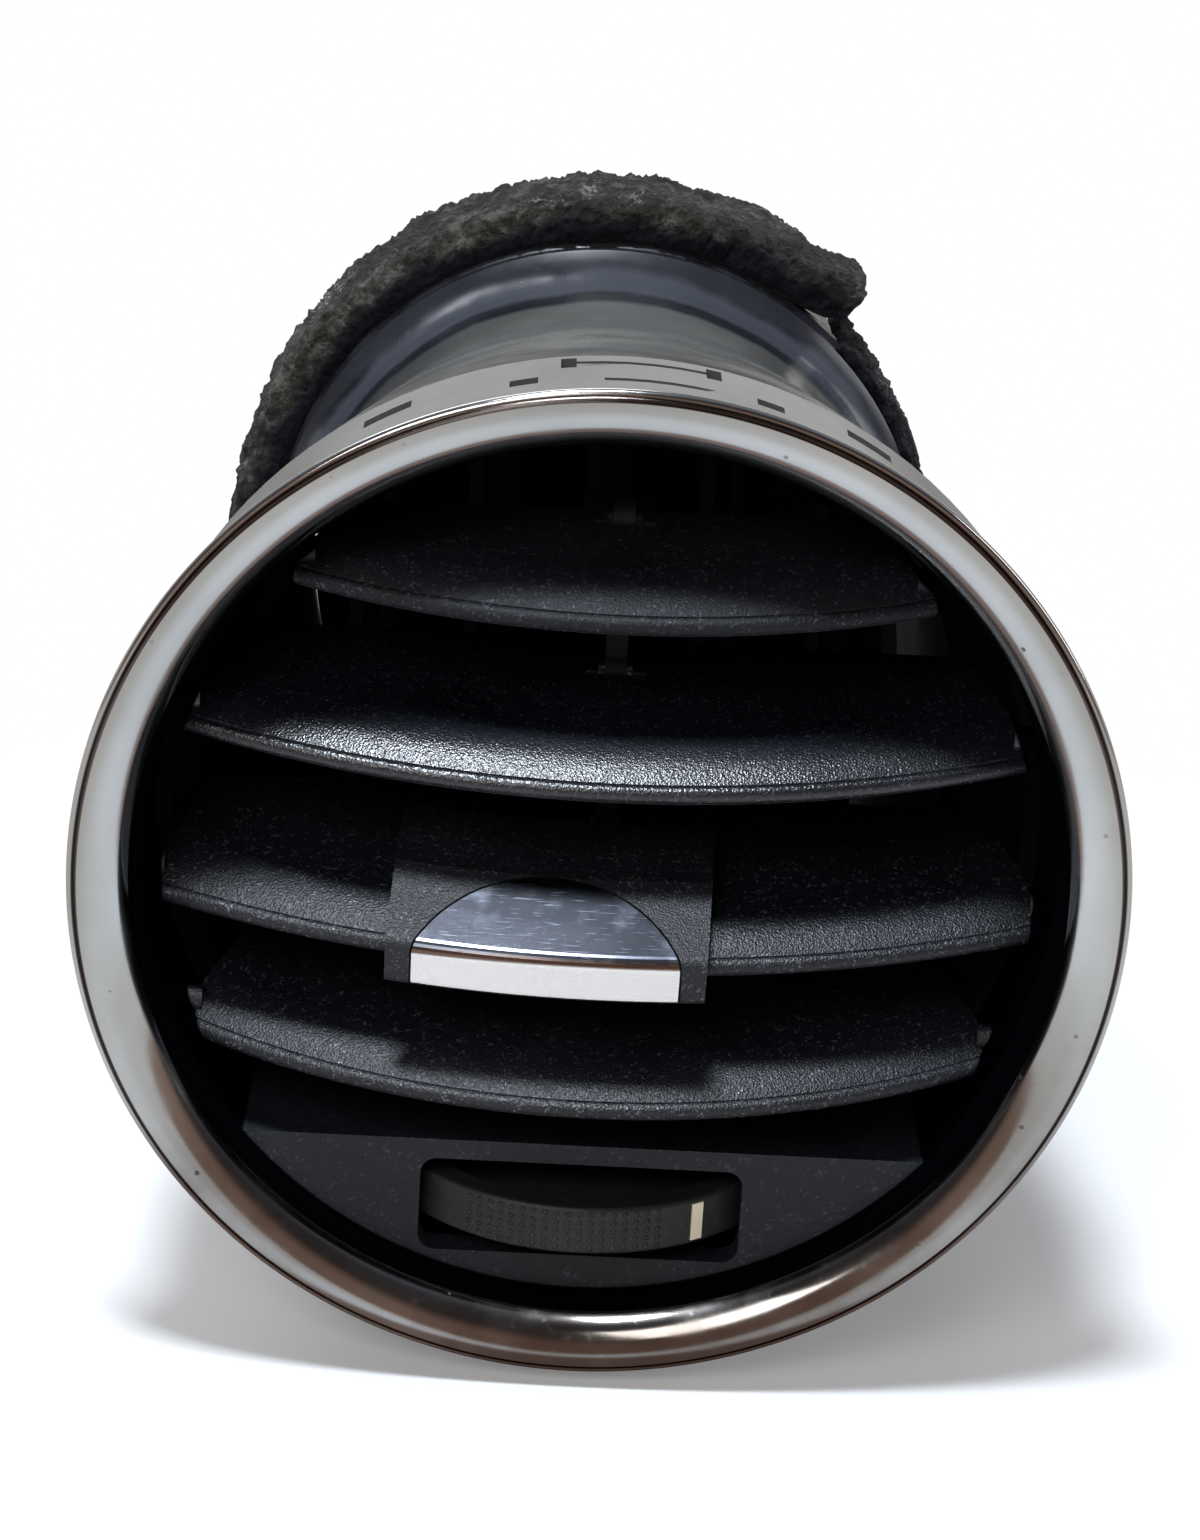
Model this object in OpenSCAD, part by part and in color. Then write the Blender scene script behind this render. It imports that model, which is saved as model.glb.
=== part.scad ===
// Round dashboard air vent: chrome bezel, tilting slats, swinging vanes, thumbwheel damper.
// Millimetres. The vent's axis is Y: the front looks along -Y and the duct runs back along +Y.
// The origin is on the axis, at the back of the bezel's lip, where the lip meets the dashboard.

/* [Bezel] */
// Outer diameter of the chrome bezel
bezel_d = 96; // [94:0.5:102]
// Radius of the bezel's rounded face
face_r = 4; // [3.6:0.1:4.4]
// Thickness of the flat lip that covers the edge of the dashboard hole
lip_t = 1.1; // [0.9:0.1:1.5]
// Width of the lip outside the rounded face
lip_w = 1; // [0.8:0.1:1.6]
// How far the inner edge lies behind the lip's back
bezel_depth = 2.6; // [2:0.2:4]
// Wall of the bezel's inner leg
bezel_wall = 1.5; // [1.3:0.1:1.6]

/* [Housing] */
// Wall of the housing
housing_wall = 1.7; // [1.4:0.1:2]
// Wall of the housing's mouth, outside the bezel's inner leg
mouth_wall = 0.55; // [0.5:0.05:0.8]
// Length of the front cylinder
front_len = 21; // [19:0.5:24]
// Diameter of the neck that holds the damper, as a share of the front cylinder's
neck_share = 0.7566; // [0.73:0.0002:0.78]
// Place of the front of the neck
neck_y = 78; // [76:0.5:80]
// Place of the flange behind the flare
flange_y = 101; // [98:0.5:103]
// How far the flange stands out from the neck
flange_out = 3.3; // [3:0.1:4]
// Thickness of the flange
flange_t = 1.6; // [1.2:0.1:2]
// How far the collar that carries the foam strip stands out from the neck
collar_out = 2; // [1.8:0.1:2.4]
// Place of the rear edge of the collar
rear_y = 119; // [118:0.5:124]
// Turn of the clips and latch about the axis, as moulded, in degrees
clip_turn = 1.8; // [-3:0.2:3]

/* [Face frame] */
// Wall of the sleeve that carries the slats
sleeve_wall = 1.3; // [1.1:0.1:1.5]
// Place of the rear edge of the sleeve
sleeve_end = 20; // [19:0.5:21]
// Depth of the flat face panel behind the lip's back
panel_y = 4; // [3.4:0.2:5]
// Depth of the panel's top edge below the axis, as a share of the sleeve's inner radius
panel_share = 0.6326; // [0.62:0.0002:0.65]
// Thickness of the panel and of the shelf behind it
panel_t = 1.5; // [1.2:0.1:1.8]
// Width of the thumbwheel slot, as a share of the wheel's radius
slot_share = 1.52; // [1.46:0.01:1.56]
// Height of the thumbwheel slot
slot_h = 9.6; // [8.4:0.2:10]
// Corner radius of the slot
slot_r = 1.6; // [1:0.1:3]

/* [Slats] */
// Height of the top slat's pivot above the axis, as a share of the sleeve's inner radius
slat_1_share = 0.699; // [0.68:0.001:0.70]
// The same for the second slat
slat_2_share = 0.354; // [0.33:0.001:0.36]
// The same for the slat with the knob
slat_3_share = -0.038; // [-0.05:0.001:-0.03]
// The same for the bottom slat
slat_4_share = -0.359; // [-0.37:0.001:-0.35]
// Place of the slat pivots behind the lip's back
pivot_y = 8; // [7.5:0.1:9]
// Tilt at rest, front edge down, in degrees
rest_tilt = 12; // [6:1:16]
// Depth of the pivots behind the ends of the front edge
pivot_back = 2; // [1.8:0.1:2.6]
// Thickness of the slat's web
web_t = 1.3; // [1.1:0.1:1.6]
// Radius of the rolled top of the front edge
roll_r = 11; // [10:0.5:12]
// Length of the rolled front edge
roll_len = 6; // [5:0.5:7]
// How far each side narrows towards the rear
slat_taper = 5; // [4.5:0.5:7]
// Radius of the pivot pins
pin_r = 1.2; // [1:0.1:1.3]
// Place of the tie bar behind the pivots
tie_back = 8.6; // [8.2:0.1:9]
// Place of the tie bar to the right of the middle
tie_x = 0.6; // [0:0.1:1]

/* [Knob] */
// Width of the knob along the slat
knob_w = 29; // [28:0.5:31]
// Distance of the knob to the left of the middle at rest
knob_left = 4.5; // [3.5:0.1:5]
// How far the knob reaches ahead of the slat's nose
knob_front = 2.6; // [2.2:0.1:3]
// Height of the knob above the slat's middle plane
knob_top = 3.8; // [3.6:0.1:4.2]
// Slope of the knob's front face, in degrees
knob_slope = 20; // [18:1:25]
// Length of the sloping face
knob_bend = 8.6; // [8.2:0.1:9]
// Depth of the knob below the slat's middle plane
knob_drop = 3.9; // [3.8:0.1:4.4]
// Width of the chrome insert
insert_w = 24.4; // [23:0.2:25]
// Width of the window that the tie bar passes through
window_w = 15.4; // [15.2:0.2:16]

/* [Vanes] */
// Distance between neighbouring vanes, as a share of the sleeve's inner radius
pitch_share = 0.2616; // [0.25:0.0002:0.266]
// Place of the vane pivots
vane_y = 36.5; // [36:0.1:37]
// Length of a vane ahead of its pivot
vane_ahead = 6.5; // [6:0.1:6.8]
// Length of a vane behind its pivot
vane_behind = 10.2; // [9.6:0.1:10.5]
// Thickness of a vane
vane_t = 1.3; // [1:0.1:1.5]
// Length of the arms that hold the driven bar of the middle vane
drive_arm = 9; // [8.8:0.1:9.2]

/* [Thumbwheel and damper] */
// Radius of the thumbwheel, as a share of the sleeve's inner radius
wheel_share = 0.4756; // [0.46:0.0002:0.48]
// Thickness of the thumbwheel
wheel_t = 4.8; // [4:0.1:5.2]
// Depth of the wheel's middle below the panel's top edge, as a share of the sleeve's inner radius
wheel_under = 0.1617; // [0.16:0.0002:0.17]
// How far the wheel stands out of the face panel
wheel_proud = 4.2; // [3.6:0.1:4.6]
// Angle of the marker to the right of the front, with the damper closed, in degrees
marker_angle = 33.5; // [30:0.5:35]
// Radius of both cranks of the damper linkage
crank_r = 9; // [8:0.2:9.6]
// Place of the damper's shaft
damper_y = 83; // [82.5:0.1:84]
// Thickness of the flap
flap_t = 1.8; // [1.4:0.1:2.2]
// Radius of the damper's shaft
shaft_r = 1.6; // [1.4:0.1:1.8]

/* [Foam strip] */
// Thickness of the foam strip on the collar
foam_t = 5.4; // [4.5:0.1:6.5]
// Width of the foam strip along the axis
foam_w = 14; // [12:0.5:15]

/* [Hidden] */
$fn = 96;

// Clearances: running pins, parts that slide, parts that only fit inside each other
run_gap = 0.06;
slide_gap = 0.3;
fit_gap = 0.15;
eps = 0.01;

bezel_r = bezel_d / 2;
bezel_in = bezel_r - lip_w - face_r;
mouth_r = bezel_in + bezel_wall + fit_gap;
housing_r = mouth_r + mouth_wall;
housing_d = 2 * housing_r;
neck_r = neck_share * housing_r;
collar_r = neck_r + collar_out;
flange_r = neck_r + flange_out;
sleeve_out = housing_r - housing_wall - fit_gap;
sleeve_in = sleeve_out - sleeve_wall;
face_y = bezel_depth - 0.2;
cone_slope = (housing_r - neck_r) / (neck_y - front_len);
flare_r = 9;
// Length of the blocks that only cut
cut = housing_d;
panel_drop = panel_share * sleeve_in;
wheel_r = wheel_share * sleeve_in;
vane_pitch = pitch_share * sleeve_in;
slot_w = slot_share * wheel_r;

// Outer and inner radius of the housing's cone at a place along the axis
function cone_out(y) = housing_r - cone_slope * (y - front_len);
function cone_in(y) = cone_out(y) - housing_wall * sqrt(1 + cone_slope * cone_slope);

// Slats: pivot height, half length, bow of the front edge, depth behind the ends of the front edge
slat_z = [for (share = [slat_1_share, slat_2_share, slat_3_share, slat_4_share]) share * sleeve_in];
slat_bow = [6, 8.4, 8.8, 10.4];
slat_depth = [11, 14.6, 16.6, 12.5];
slat_reach = [0.9, 0.9, 2, 2];
end_gap = 0.35;
function slat_half(i) = sqrt(pow(sleeve_in, 2) - pow(abs(slat_z[i]) + slat_reach[i], 2)) - end_gap;
function slat_arc(i) = (pow(slat_half(i), 2) + pow(slat_bow[i], 2)) / (2 * slat_bow[i]);
function arc_back(i) = slat_arc(i) - slat_bow[i] - pivot_back;
function pin_end(i) = sqrt(pow(sleeve_out - 0.25, 2) - pow(abs(slat_z[i]) + pin_r, 2));
tie_w = 2;
tie_t = 2.6;
tie_pin_r = 0.9;
tie_slot = tie_w + 1.2;
rib_t = web_t + 2 * slide_gap - 0.2;
tie_eye_r = tie_pin_r + run_gap + 1;

// Knob: it slides along the arc of the third slat's nose
knob_arc = slat_arc(2);
knob_turn = asin(knob_left / knob_arc);
knob_wall = 1.6;
slat_rear = slat_depth[2] - pivot_back;
bridge_t = 1.5;
prong_t = 2;
drive_y = vane_y - drive_arm;
drive_r = 1;
drive_half = 15.1;
prong_end = 25.4;
bridge_gap = 1.4;
window_front = tie_back - tie_t / 2 - 2.6;
window_rear = tie_back + tie_t / 2 + 2.8;

wheel_y = panel_y - wheel_proud + wheel_r;
wheel_z = -panel_drop - wheel_under * sleeve_in;
axle_r = 2;

// Vane frame: an arch inside the housing's cone, closed below by a floor
frame_front = wheel_y + axle_r + 2.7;
frame_rear = wheel_y + wheel_r + 9.2;
frame_wall = 1.5;
floor_top = -panel_drop;
floor_bottom = floor_top - panel_t;
// turn of the vanes at rest, from the place of the knob and its fork
fork_far = (pivot_y + arc_back(2) * cos(rest_tilt) - vane_y) * tan(knob_turn);
vane_rest = atan(tan(knob_turn) / cos(rest_tilt))
          + asin(fork_far / (drive_arm * norm([cos(rest_tilt), tan(knob_turn)])));
vane_swing = 33;
vane_gap = 0.9;
function frame_in(y) = cone_in(y) - fit_gap - frame_wall;
function vane_room(x, y, reach) =
    sqrt(pow(frame_in(y) - vane_gap, 2) - pow(abs(x) + reach * sin(vane_swing) + vane_t / 2, 2));
vane_tie_back = 8;
vane_tie_z = -18;
vane_tie_t = 1.4;

// Thumbwheel and linkage
shelf_half = 0.62 * sleeve_in;
rod_t = 1.8;
rod_w = 4;
rod_z = -(neck_r + 4.9);
crank_z = rod_z + rod_t + 0.3;
crank_t = 1.5;
boss_r = 4;
crank_x = crank_r * cos(marker_angle);
crank_ahead = crank_r * sin(marker_angle);
close_angle = 2 * marker_angle;
flap_r = neck_r - housing_wall - 0.4;
gasket_w = 1.6;
gasket_t = 0.6;

// A profile in (radius, place along the axis), turned about the vent's axis
module turned() {
    rotate([-90, 0, 0])
        rotate_extrude($fn = 180)
            children();
}

// A cylinder along the vent's axis from y0 to y1
module tube_y(r, y0, y1) {
    translate([0, y0, 0])
        rotate([-90, 0, 0])
            cylinder(r = r, h = y1 - y0, $fn = 180);
}

// A pin along X
module pin_x(r, x0, x1) {
    translate([x0, 0, 0])
        rotate([0, 90, 0])
            cylinder(r = r, h = x1 - x0, $fn = 40);
}

// Children placed on the front cylinder, at an angle from the top towards +X
module around(angle) {
    rotate([0, angle + clip_turn, 0])
        children();
}

module rounded_rect(w, h, r) {
    union() {
        square([w - 2 * r, h], center = true);
        square([w, h - 2 * r], center = true);
        for (sx = [-1, 1], sz = [-1, 1])
            translate([sx * (w / 2 - r), sz * (h / 2 - r)])
                circle(r, $fn = 32);
    }
}

module bezel_ring() {
    color("gainsboro")
    turned() {
        difference() {
            union() {
                intersection() {
                    translate([bezel_in + face_r, face_y])
                        circle(face_r, $fn = 96);
                    translate([bezel_in - 1, -face_r])
                        square([face_r + 1, face_r + face_y]);
                }
                translate([bezel_in, face_y - eps])
                    square([bezel_wall, bezel_depth - face_y + eps]);
            }
            translate([bezel_in + bezel_wall, 0])
                square([face_r, bezel_depth + 1]);
            // shallow recess over the housing's edge, so that only the lip lies on the dashboard
            translate([bezel_in + bezel_wall, -0.05])
                square([housing_r + 0.2 - bezel_in - bezel_wall, 1]);
        }
        difference() {
            translate([bezel_in + face_r - 0.6, -lip_t])
                square([lip_w + 0.6 - lip_t / 2, lip_t]);
            // fine groove between the rounded face and the lip
            translate([bezel_in + face_r + 0.15, -lip_t])
                circle(0.25, $fn = 24);
        }
        translate([bezel_r - lip_t / 2, -lip_t / 2])
            circle(lip_t / 2, $fn = 32);
    }
}

// Clip windows of the housing: angle, width, place, length
windows = [[-13.5, 2.6, 13.6, 2], [15, 2.6, 13.6, 2], [-30, 4.8, 16.6, 2.2], [28, 4.8, 16.6, 2.2],
           [-75, 4.8, 16.6, 2.2], [75, 4.8, 16.6, 2.2], [-120, 4.8, 16.6, 2.2], [120, 4.8, 16.6, 2.2],
           [180, 4.8, 16.6, 2.2]];

module housing() {
    neck_in = neck_r - housing_wall;
    color([0.05, 0.05, 0.06])
    difference() {
        union() {
            turned()
                difference() {
                    polygon([[0, 0], [housing_r, 0], [housing_r, front_len], [neck_r, neck_y],
                             [neck_r, flange_y - 1], [flange_r - 0.8, flange_y - 1], [flange_r, flange_y - 0.4],
                             [flange_r, flange_y + flange_t], [collar_r, flange_y + flange_t],
                             [collar_r, rear_y], [0, rear_y]]);
                    polygon([[0, -1], [mouth_r, -1], [mouth_r, bezel_depth],
                             [housing_r - housing_wall, bezel_depth], [housing_r - housing_wall, front_len],
                             [neck_in, neck_y], [neck_in, flange_y - 3], [collar_r - housing_wall, flange_y],
                             [collar_r - housing_wall, rear_y + 1], [0, rear_y + 1]]);
                }
            // the flare: a hollow fillet from the neck out to the flange
            turned()
                difference() {
                    translate([neck_r - 0.5, flange_y - flare_r + 0.6])
                        square([flange_r - neck_r - 0.1, flare_r - 0.8]);
                    translate([neck_r + flare_r, flange_y - flare_r + 0.4])
                        circle(flare_r, $fn = 96);
                }
            // boss that carries the lower end of the damper's shaft
            translate([0, damper_y, -neck_r - 1.2])
                cylinder(r = boss_r, h = housing_wall + 0.9, $fn = 48);
        }
        // clip windows
        for (w = windows)
            around(w[0])
                translate([-w[1] / 2, w[2] - w[3] / 2, housing_r - housing_wall - 1])
                    cube([w[1], w[3], housing_wall + 2]);
        // latch tongue at the top: an end slot and a relief hole at each corner
        around(0) {
            translate([-6.6, 18.2, housing_r - 2 * housing_wall])
                cube([13.2, 0.8, 3 * housing_wall]);
            for (s = [-1, 1])
                translate([s * 6.6 - 0.7, 17, housing_r - 2 * housing_wall])
                    cube([1.4, 3.2, 3 * housing_wall]);
            translate([-3.4, 12.4, housing_r - 0.5])
                cube([14, 0.9, 1]);
        }
        // hole for the damper's shaft, blind at the top
        translate([0, damper_y, -neck_r - 2])
            cylinder(r = shaft_r + run_gap, h = 2 * neck_r + 1.6, $fn = 48);
        // slot for the push rod, where the cone closes in on it
        translate([crank_x - rod_w / 2 - 1, 30, rod_z - 6])
            cube([crank_r - crank_x + rod_w + 2, 36, 8.6]);
    }
}

module face_frame() {
    color([0.09, 0.09, 0.1])
    difference() {
        union() {
            // sleeve
            turned()
                translate([sleeve_in, bezel_depth])
                    square([sleeve_wall, sleeve_end - bezel_depth]);
            // panel with its shelf
            intersection() {
                tube_y(sleeve_in + sleeve_wall / 2, 0, sleeve_end);
                union() {
                    translate([-housing_r, panel_y, -housing_r])
                        cube([housing_d, panel_t, housing_r - panel_drop]);
                    translate([-housing_r, panel_y, floor_bottom])
                        cube([housing_d, sleeve_end - panel_y, panel_t]);
                }
            }
            // shelf behind the sleeve, up to the vane frame
            translate([-shelf_half, sleeve_end - 1, floor_bottom])
                cube([2 * shelf_half, frame_front - sleeve_end + 0.9, panel_t]);
            // rim behind the slot
            translate([0, panel_y + 3, wheel_z])
                rotate([90, 0, 0])
                    linear_extrude(3)
                        rounded_rect(slot_w + 2.4, slot_h + 2, slot_r + 1);
            // boss for the wheel's axle
            translate([0, wheel_y, wheel_z + wheel_t / 2 + 0.5])
                cylinder(r = 3.6, h = floor_bottom - wheel_z - wheel_t / 2, $fn = 40);
            // snap lugs that fill the lower half of each clip window
            for (w = windows)
                around(w[0])
                    translate([-w[1] / 2 + 0.3, w[2] - w[3] / 2 + 0.3, sleeve_out - 0.5])
                        cube([w[1] - 0.6, w[3] - 0.6, 1.3]);
        }
        // thumbwheel slot
        translate([0, panel_y + 9, wheel_z])
            rotate([90, 0, 0])
                linear_extrude(10)
                    rounded_rect(slot_w, slot_h, slot_r);
        // pivot holes of the slats
        for (i = [0:3])
            translate([0, pivot_y, slat_z[i]])
                pin_x(pin_r + run_gap, -housing_r, housing_r);
        // hole for the axle
        translate([0, wheel_y, wheel_z])
            cylinder(r = axle_r + run_gap, h = cut, $fn = 40);
        // room for the wheel behind the slot
        translate([0, wheel_y, wheel_z - wheel_t / 2 - 0.45])
            cylinder(r = wheel_r + 0.6, h = wheel_t + 0.9, $fn = 180);
    }
}

// Section of the rolled front edge, in (radius from the arc's centre, height)
module nose_section(arc) {
    band = 1.7;
    centre_u = roll_len + 0.6;
    nose_u = 0.9;
    nose_h = web_t / 2 - roll_r + sqrt(pow(roll_r - band / 2, 2) - pow(centre_u - nose_u, 2));
    intersection() {
        difference() {
            translate([arc - centre_u, web_t / 2 - roll_r])
                circle(roll_r, $fn = 120);
            translate([arc - centre_u, web_t / 2 - roll_r])
                circle(roll_r - band, $fn = 120);
        }
        translate([arc - centre_u, -4])
            square([centre_u - nose_u, 6]);
    }
    translate([arc - nose_u, nose_h])
        circle(band / 2, $fn = 40);
}

// Plan of slat i: tapered sides and a straight rear edge, cut off ahead by the arc
module slat_plan(i, arc) {
    half = slat_half(i);
    rear = slat_depth[i] - pivot_back;
    intersection() {
        polygon([[-half, -slat_bow[i] - 6], [half, -slat_bow[i] - 6], [half, -pivot_back],
                 [half - slat_taper, rear], [-half + slat_taper, rear], [-half, -pivot_back]]);
        translate([0, arc_back(i)])
            circle(arc, $fn = 360);
    }
}

// Children in the frame of slat i: origin on its pivot axis, tilted to the rest position
module at_slat(i) {
    translate([0, pivot_y, slat_z[i]])
        rotate([rest_tilt, 0, 0])
            children();
}

module slat(i) {
    arc = slat_arc(i);
    half = slat_half(i);
    side = half - slat_taper * pivot_back / slat_depth[i];
    color([0.11, 0.11, 0.12])
    at_slat(i)
        difference() {
            union() {
                // web
                translate([0, 0, -web_t / 2])
                    linear_extrude(web_t)
                        slat_plan(i, arc - roll_len);
                // rolled front edge
                intersection() {
                    translate([0, arc_back(i), 0])
                        rotate_extrude($fn = 360)
                            nose_section(arc);
                    translate([0, 0, -5])
                        linear_extrude(10)
                            slat_plan(i, arc + 1);
                }
                // pivot pins
                for (s = [-1, 1])
                    pin_x(pin_r, s > 0 ? side - 1 : -pin_end(i), s > 0 ? pin_end(i) : -side + 1);
                // thick rib that holds the cross pin of the tie bar, thin enough for the knob to pass over
                translate([tie_x - tie_slot / 2 - 1.2, tie_back - 2, -rib_t / 2])
                    cube([tie_slot + 2.4, 4.6, rib_t]);
            }
            // notch for the tie bar, open to the rear
            translate([tie_x - tie_slot / 2, tie_back - tie_eye_r - 0.9, -3])
                cube([tie_slot, cut, 6]);
        }
    color([0.11, 0.11, 0.12])
    at_slat(i)
        translate([0, tie_back, 0])
            pin_x(tie_pin_r, tie_x - tie_slot / 2 - 0.4, tie_x + tie_slot / 2 + 0.4);
}

// Where the tie bar's pins are at rest, from the pivot axis
tie_dy = tie_back * cos(rest_tilt);
tie_dz = tie_back * sin(rest_tilt);

module slat_tie_bar() {
    color([0.07, 0.07, 0.08])
    translate([tie_x, pivot_y + tie_dy, tie_dz])
        difference() {
            union() {
                translate([-tie_w / 2, -tie_t / 2, slat_z[3]])
                    cube([tie_w, tie_t, slat_z[0] - slat_z[3]]);
                for (z = slat_z)
                    translate([0, 0, z])
                        pin_x(tie_eye_r, -tie_w / 2, tie_w / 2);
            }
            for (z = slat_z)
                translate([0, 0, z])
                    pin_x(tie_pin_r + run_gap, -tie_w, tie_w);
        }
}

// Children in the knob's frame: on the third slat, swung to its rest place, nose of the slat at (0, 0)
module at_knob() {
    at_slat(2)
        translate([0, arc_back(2), 0])
            rotate([0, 0, -knob_turn])
                translate([0, -knob_arc, 0])
                    children();
}

slat_nose_back = slat_bow[2] + pivot_back;

// Section of the knob along the slat, in (distance behind the slat's nose, height):
// a short upright front, a rounded edge, a sloping face and a level top
module knob_section(grow) {
    front = -knob_front - grow;
    top = knob_top + grow;
    rear = window_front + slat_nose_back;
    round = 1.4;
    bend = knob_bend - knob_front;
    edge_z = top - (bend - front - round) * tan(knob_slope) - round / cos(knob_slope);
    foot = 0.8;
    polygon(concat(
        [for (turn = [270:-15:180]) [front + foot + foot * cos(turn), foot - knob_drop + foot * sin(turn)]],
        [for (turn = [0:1:6]) [front + round - round * cos(turn * (90 - knob_slope) / 6),
                               edge_z + round * sin(turn * (90 - knob_slope) / 6)]],
        [[bend, top], [rear, top], [rear, -knob_drop]]));
}

// The knob's section swept along the arc of the slat
module knob_sweep(grow, width) {
    intersection() {
        translate([0, knob_arc, 0])
            rotate_extrude($fn = 360)
                translate([knob_arc, 0])
                    mirror([1, 0])
                        knob_section(grow);
        translate([-width / 2, -8, -10])
            cube([width, cut, 20]);
    }
}

// Room that the knob leaves round the slat, with the rolled edge's own form
nose_room = 3;
module knob_channel() {
    roll_back = roll_len + 0.6;
    translate([-knob_w, roll_back - 0.3, -web_t / 2 - slide_gap])
        cube([2 * knob_w, cut, web_t + 2 * slide_gap]);
    translate([0, knob_arc, 0])
        rotate_extrude($fn = 360)
            intersection() {
                translate([knob_arc - roll_back, web_t / 2 - roll_r])
                    circle(roll_r + slide_gap - 0.03, $fn = 120);
                translate([knob_arc - roll_back - 1, -nose_room])
                    square([roll_back + 1.45, 6]);
            }
}

// Outline of the chrome insert: a flat front edge and a round back that ends at the bend
module insert_outline(grow) {
    back_y = knob_bend - knob_front - 0.1;
    chord_y = back_y + knob_front - 0.4;
    insert_r = (pow(insert_w / 2, 2) + pow(chord_y, 2)) / (2 * chord_y);
    intersection() {
        translate([0, back_y - insert_r])
            circle(insert_r + grow, $fn = 120);
        translate([-insert_w / 2 - grow, -knob_front - 2])
            square([insert_w + 2 * grow, cut]);
    }
}

insert_depth = 0.9;
insert_gap = 0.2;

module knob_body() {
    rear = window_front + slat_nose_back;
    color([0.1, 0.1, 0.11])
    at_knob()
        difference() {
            union() {
                knob_sweep(0, knob_w);
                // two side arms beside the window
                for (s = [-1, 1])
                    translate([s * (window_w / 2 + knob_w / 2) / 2 - (knob_w - window_w) / 4,
                               rear - 1, web_t / 2 + slide_gap])
                        cube([(knob_w - window_w) / 2,
                              slat_rear + slat_nose_back + bridge_gap + bridge_t - rear + 1, knob_wall]);
            }
            knob_channel();
            // seat of the insert
            intersection() {
                translate([0, 0, -10])
                    linear_extrude(20)
                        insert_outline(insert_gap);
                difference() {
                    knob_sweep(1, knob_w + 2);
                    translate([0, insert_depth, -insert_depth])
                        knob_sweep(0, knob_w + 4);
                }
                translate([-cut / 2, -10, -knob_drop + 0.35])
                    cube([cut, cut, 20]);
            }
            // split line: the clip closes the knob from below
            translate([-knob_w, -knob_front + 2.6, -10])
                cube([2 * knob_w, cut, 10 - web_t / 2 - slide_gap]);
        }
}

module knob_insert() {
    color("silver")
    at_knob()
        intersection() {
            translate([0, 0, -10])
                linear_extrude(20)
                    insert_outline(0);
            difference() {
                knob_sweep(0, knob_w + 2);
                translate([0, insert_depth - 0.1, -insert_depth + 0.1])
                    knob_sweep(0, knob_w + 4);
            }
            translate([-cut / 2, -10, -knob_drop + 0.5])
                cube([cut, cut, 20]);
        }
}

// Lower jaw of the knob, under the slat
module knob_clip() {
    front = -knob_front + 2.8;
    top = -web_t / 2 - slide_gap;
    rear = slat_rear + slat_nose_back + bridge_gap - 0.05;
    jaw_top = -nose_room;
    jaw_t = knob_drop - nose_room;
    color([0.08, 0.08, 0.09])
    at_knob()
        difference() {
            union() {
                translate([-knob_w / 2 + 1, front, jaw_top - jaw_t])
                    cube([knob_w - 2, 9.5, jaw_t]);
                translate([-knob_w / 2 + 1, front + 8.4, jaw_top - jaw_t])
                    cube([knob_w - 2, 1.6, top - jaw_top + jaw_t]);
                translate([-knob_w / 2 + 1, front + 9, top - knob_wall])
                    cube([knob_w - 2, rear - front - 9, knob_wall]);
            }
            // room for the tie bar
            translate([-window_w / 2, window_front + slat_nose_back, -10])
                cube([window_w, window_rear - window_front, cut]);
        }
}

// Rear bridge of the knob, with two prongs that straddle the driven bar
module knob_fork() {
    rear = slat_rear + slat_nose_back + bridge_gap;
    top = web_t / 2 + slide_gap;
    color([0.08, 0.08, 0.09])
    at_knob() {
        translate([-knob_w / 2 + 1, rear, -top - knob_wall])
            cube([knob_w - 2, bridge_t, 2 * top + knob_wall - 0.05]);
        for (s = [-1, 1])
            translate([s * (drive_r + slide_gap + prong_t / 2) - prong_t / 2, rear + bridge_t - 0.2, -top - knob_wall])
                cube([prong_t, prong_end + slat_nose_back - rear - bridge_t, 2 * top + knob_wall - 0.05]);
    }
}

module vane_frame() {
    color([0.07, 0.07, 0.08])
    difference() {
        union() {
            intersection() {
                turned()
                    polygon([[frame_in(frame_front), frame_front],
                             [frame_in(frame_front) + frame_wall, frame_front],
                             [frame_in(frame_rear) + frame_wall, frame_rear],
                             [frame_in(frame_rear), frame_rear]]);
                translate([-housing_r, 0, floor_bottom])
                    cube([housing_d, rear_y, 2 * housing_r]);
            }
            intersection() {
                turned()
                    polygon([[0, frame_front], [frame_in(frame_front) + 0.5, frame_front],
                             [frame_in(frame_rear) + 0.5, frame_rear], [0, frame_rear]]);
                union() {
                    translate([-housing_r, frame_front, floor_bottom])
                        cube([housing_d, frame_rear - frame_front, panel_t]);
                    // crescent wall that closes the room under the floor
                    translate([-housing_r, frame_rear - 1.5, -frame_in(frame_rear) - 0.2])
                        cube([housing_d, 1.5, frame_in(frame_rear) - panel_drop]);
                }
            }
        }
        // pivot holes of the vanes
        for (i = [-2:2])
            translate([i * vane_pitch, vane_y, -housing_r])
                cylinder(r = pin_r + run_gap, h = housing_d, $fn = 40);
    }
}

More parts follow.
